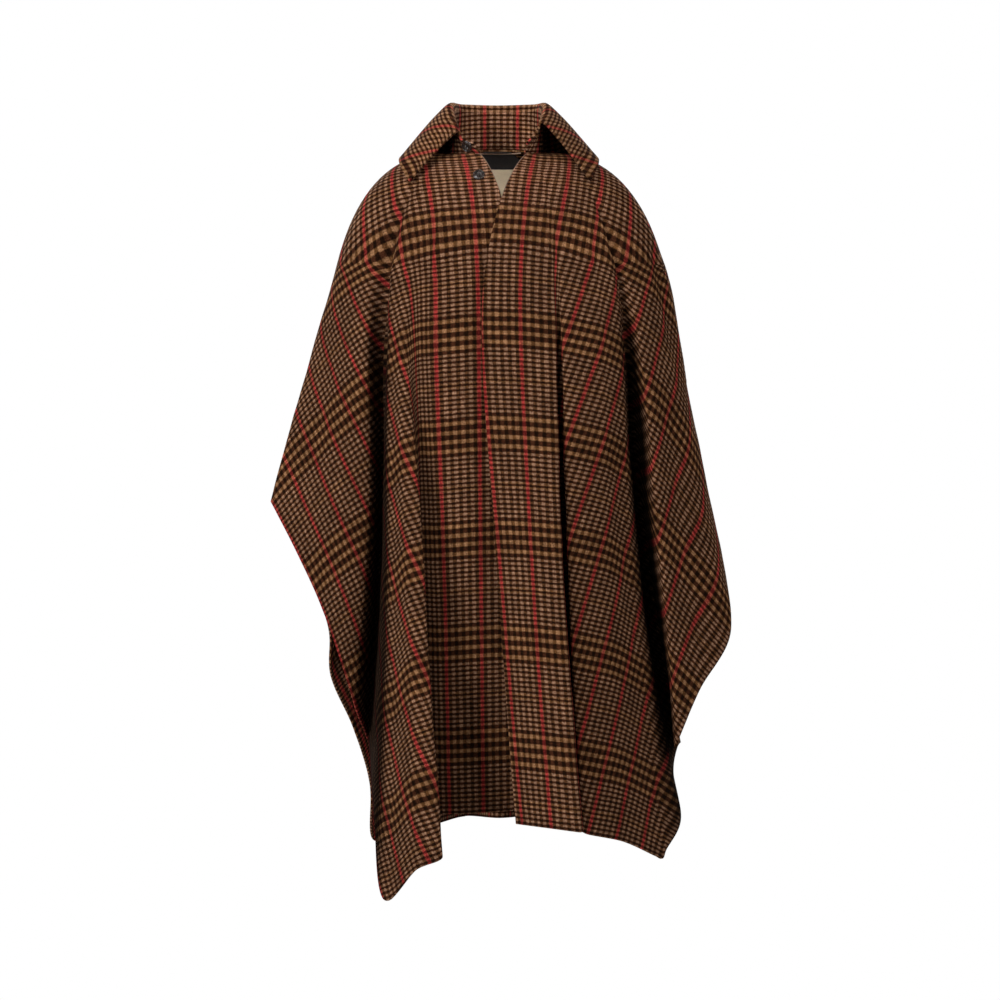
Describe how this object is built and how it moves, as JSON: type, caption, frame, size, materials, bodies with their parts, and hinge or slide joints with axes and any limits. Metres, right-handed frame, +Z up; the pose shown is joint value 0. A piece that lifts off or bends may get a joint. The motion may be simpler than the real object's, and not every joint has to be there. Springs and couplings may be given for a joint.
{
  "type": "blanket cape",
  "caption": "Knee-length blanket cape of checked wool with a shirt collar on a stand and a fly front, worn and open at neck, sides and hem.",
  "frame": {"origin": "middle of the neck opening, at the level of the neck seam, where neck and shoulders carry the cape", "axes": "+Z up, -Y to the front, +X to the wearer's left"},
  "size_m": [0.6869, 0.5904, 1.1729],
  "materials": {
    "check_wool": "brown, tan and red check in soft napped wool",
    "dark_tape": "dark woven neck tape",
    "pale_label": "plain pale woven label",
    "dark_button": "dark polished horn look"
  },
  "bodies": {
    "root": {"front_left": "check_wool", "front_right": "check_wool", "back": "check_wool", "collar_stand": "check_wool", "collar_leaf": "check_wool", "fly_placket": "check_wool", "neck_facing": "dark_tape", "neck_label": "pale_label", "button_collar": "dark_button", "button_front": "dark_button"}
  },
  "joints": []
}
